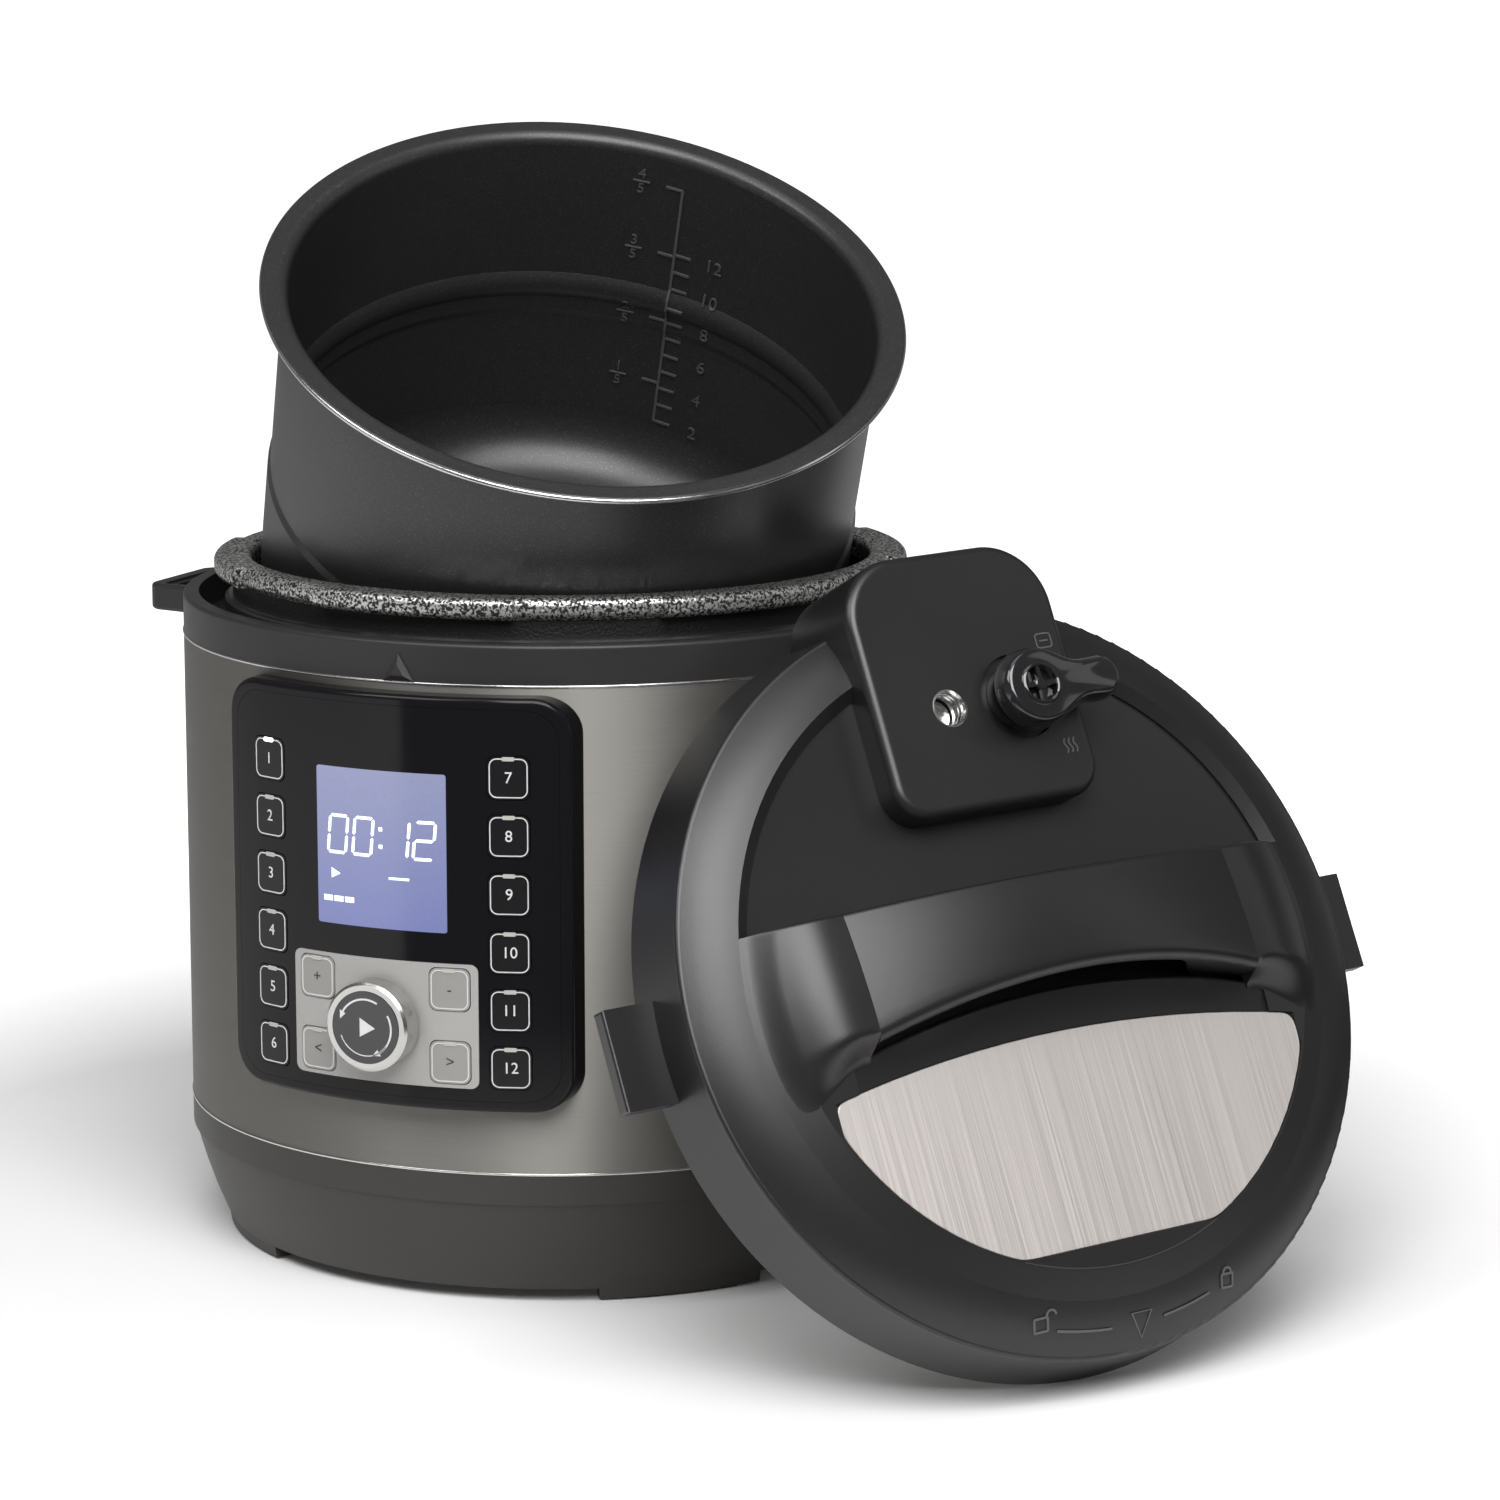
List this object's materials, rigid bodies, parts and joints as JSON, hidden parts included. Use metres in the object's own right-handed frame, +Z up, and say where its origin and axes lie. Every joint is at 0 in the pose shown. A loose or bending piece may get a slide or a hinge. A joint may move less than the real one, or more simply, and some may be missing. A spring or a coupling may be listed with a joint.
{
  "type": "electric pressure cooker",
  "caption": "Round electric pressure cooker with a curved control panel, a brushed band, a pot leaning in its locking ring and its valved lid taken off in front.",
  "frame": {"origin": "centre of the base on the floor plane its feet stand on", "axes": "+Z up along the base axis, -Y out of the control panel, +X to the right seen from the panel side"},
  "size_m": [0.4962, 0.3969, 0.4213],
  "materials": {
    "housing_plastic": "satin charcoal moulding",
    "lid_plastic": "fine-grained satin black",
    "gloss_black": "gloss black",
    "key_black": "gloss black key cap",
    "key_grey": "silver grey",
    "steel": "brushed",
    "label_steel": "brushed, warm",
    "screen_glass": "lit display window",
    "cast_ring": "speckled hammertone",
    "well_metal": "pressed sheet",
    "plate_metal": "cast and turned",
    "bare_steel": "plain",
    "coating": "dark non-stick coating over aluminium",
    "silicone": "translucent grey",
    "foot_rubber": "black",
    "cup_clear": "smoky clear",
    "board_green": "circuit board",
    "pin_brass": "plated"
  },
  "bodies": {
    "base": {"base_screws": "bare_steel", "bayonet_ring": "cast_ring", "bottom_cover": "housing_plastic", "collar": "lid_plastic", "cup_rail": "housing_plastic", "dial_encoder": "housing_plastic", "handle_left": "lid_plastic", "handle_right": "lid_plastic", "heating_element": "bare_steel", "heating_plate": "plate_metal", "heating_well": "well_metal", "inlet_pins": "pin_brass", "key_plate": "key_grey", "lcd_window": "screen_glass", "lower_housing": "housing_plastic", "panel_bezel": "gloss_black", "panel_face": "gloss_black", "power_board": "board_green", "power_inlet": "gloss_black", "rubber_feet": "foot_rubber", "sensor_guide": "bare_steel", "sensor_spring": "bare_steel", "steel_band": "steel", "switch_sheet": "board_green"},
    "dial": {"encoder_shaft": "bare_steel"},
    "dial_knob": {"dial_ring": "steel", "dial_cap": "gloss_black"},
    "sensor": {"temperature_sensor": "plate_metal"},
    "cup": {"condensation_cup": "cup_clear"},
    "pot": {"inner_pot": "coating"},
    "lid": {"lid_cover": "lid_plastic", "lid_handle": "lid_plastic", "label_plate": "label_steel", "steam_box": "lid_plastic", "lid_fins": "lid_plastic", "inner_lid": "bare_steel", "lid_screws": "bare_steel", "sealing_ring": "silicone", "seal_rack": "bare_steel", "steam_pipe": "bare_steel", "anti_block_shield": "bare_steel"},
    "float": {"float_valve": "bare_steel", "float_seal": "silicone"},
    "valve": {"steam_valve": "gloss_black"},
    "key_left_1": {"program_key_left_1": "key_black"},
    "key_right_1": {"program_key_right_1": "key_black"},
    "key_left_2": {"program_key_left_2": "key_black"},
    "key_right_2": {"program_key_right_2": "key_black"},
    "key_left_3": {"program_key_left_3": "key_black"},
    "key_right_3": {"program_key_right_3": "key_black"},
    "key_left_4": {"program_key_left_4": "key_black"},
    "key_right_4": {"program_key_right_4": "key_black"},
    "key_left_5": {"program_key_left_5": "key_black"},
    "key_right_5": {"program_key_right_5": "key_black"},
    "key_left_6": {"program_key_left_6": "key_black"},
    "key_right_6": {"program_key_right_6": "key_black"},
    "grey_key_left_1": {"setting_key_left_1": "key_grey"},
    "grey_key_right_1": {"setting_key_right_1": "key_grey"},
    "grey_key_left_2": {"setting_key_left_2": "key_grey"},
    "grey_key_right_2": {"setting_key_right_2": "key_grey"}
  },
  "joints": [
    {"name": "key_left_1_press", "type": "slide", "parent": "base", "child": "key_left_1", "axis": [0.3157, 0.9489, 0], "range_m": [0, 0.0006], "stiffness_N_per_m": 800, "springref_m": -0.0005},
    {"name": "key_right_1_press", "type": "slide", "parent": "base", "child": "key_right_1", "axis": [-0.3157, 0.9489, 0], "range_m": [0, 0.0006], "stiffness_N_per_m": 800, "springref_m": -0.0005},
    {"name": "key_left_2_press", "type": "slide", "parent": "base", "child": "key_left_2", "axis": [0.3157, 0.9489, 0], "range_m": [0, 0.0006], "stiffness_N_per_m": 800, "springref_m": -0.0005},
    {"name": "key_right_2_press", "type": "slide", "parent": "base", "child": "key_right_2", "axis": [-0.3157, 0.9489, 0], "range_m": [0, 0.0006], "stiffness_N_per_m": 800, "springref_m": -0.0005},
    {"name": "key_left_3_press", "type": "slide", "parent": "base", "child": "key_left_3", "axis": [0.3157, 0.9489, 0], "range_m": [0, 0.0006], "stiffness_N_per_m": 800, "springref_m": -0.0005},
    {"name": "key_right_3_press", "type": "slide", "parent": "base", "child": "key_right_3", "axis": [-0.3157, 0.9489, 0], "range_m": [0, 0.0006], "stiffness_N_per_m": 800, "springref_m": -0.0005},
    {"name": "key_left_4_press", "type": "slide", "parent": "base", "child": "key_left_4", "axis": [0.3157, 0.9489, 0], "range_m": [0, 0.0006], "stiffness_N_per_m": 800, "springref_m": -0.0005},
    {"name": "key_right_4_press", "type": "slide", "parent": "base", "child": "key_right_4", "axis": [-0.3157, 0.9489, 0], "range_m": [0, 0.0006], "stiffness_N_per_m": 800, "springref_m": -0.0005},
    {"name": "key_left_5_press", "type": "slide", "parent": "base", "child": "key_left_5", "axis": [0.3157, 0.9489, 0], "range_m": [0, 0.0006], "stiffness_N_per_m": 800, "springref_m": -0.0005},
    {"name": "key_right_5_press", "type": "slide", "parent": "base", "child": "key_right_5", "axis": [-0.3157, 0.9489, 0], "range_m": [0, 0.0006], "stiffness_N_per_m": 800, "springref_m": -0.0005},
    {"name": "key_left_6_press", "type": "slide", "parent": "base", "child": "key_left_6", "axis": [0.3157, 0.9489, 0], "range_m": [0, 0.0006], "stiffness_N_per_m": 800, "springref_m": -0.0005},
    {"name": "key_right_6_press", "type": "slide", "parent": "base", "child": "key_right_6", "axis": [-0.3157, 0.9489, 0], "range_m": [0, 0.0006], "stiffness_N_per_m": 800, "springref_m": -0.0005},
    {"name": "grey_key_left_1_press", "type": "slide", "parent": "base", "child": "grey_key_left_1", "axis": [0.175, 0.9846, 0], "range_m": [0, 0.0006], "stiffness_N_per_m": 800, "springref_m": -0.0005},
    {"name": "grey_key_right_1_press", "type": "slide", "parent": "base", "child": "grey_key_right_1", "axis": [-0.175, 0.9846, 0], "range_m": [0, 0.0006], "stiffness_N_per_m": 800, "springref_m": -0.0005},
    {"name": "grey_key_left_2_press", "type": "slide", "parent": "base", "child": "grey_key_left_2", "axis": [0.175, 0.9846, 0], "range_m": [0, 0.0006], "stiffness_N_per_m": 800, "springref_m": -0.0005},
    {"name": "grey_key_right_2_press", "type": "slide", "parent": "base", "child": "grey_key_right_2", "axis": [-0.175, 0.9846, 0], "range_m": [0, 0.0006], "stiffness_N_per_m": 800, "springref_m": -0.0005},
    {"name": "dial_turn", "type": "hinge", "parent": "base", "child": "dial", "pos_m": [0, -0.155, 0.109], "axis": [0, -1, 0], "continuous": true},
    {"name": "dial_push", "type": "slide", "parent": "dial", "child": "dial_knob", "axis": [0, 1, 0], "range_m": [0, 0.001], "stiffness_N_per_m": 600, "springref_m": -0.0006},
    {"name": "sensor_press", "type": "slide", "parent": "base", "child": "sensor", "axis": [0, 0, -1], "range_m": [0, 0.004], "stiffness_N_per_m": 300, "springref_m": -0.004, "deforming": ["sensor_spring"]},
    {"name": "cup_slide", "type": "slide", "parent": "base", "child": "cup", "axis": [0, 1, 0], "range_m": [0, 0.045]},
    {"name": "pot_lift", "type": "slide", "parent": "base", "child": "pot", "axis": [0, 0, 1], "range_m": [0, 0.2]},
    {"name": "lid_lift", "type": "slide", "parent": "base", "child": "lid", "axis": [0.7287, -0.5275, 0.4368], "range_m": [0, 0.15]},
    {"name": "float_rise", "type": "slide", "parent": "lid", "child": "float", "axis": [0.7287, -0.5275, 0.4368], "range_m": [0, 0.006]},
    {"name": "valve_turn", "type": "hinge", "parent": "lid", "child": "valve", "pos_m": [0.2252, -0.08844, 0.23599], "axis": [0.7287, -0.5275, 0.4368], "range_deg": [-52, 50]}
  ]
}
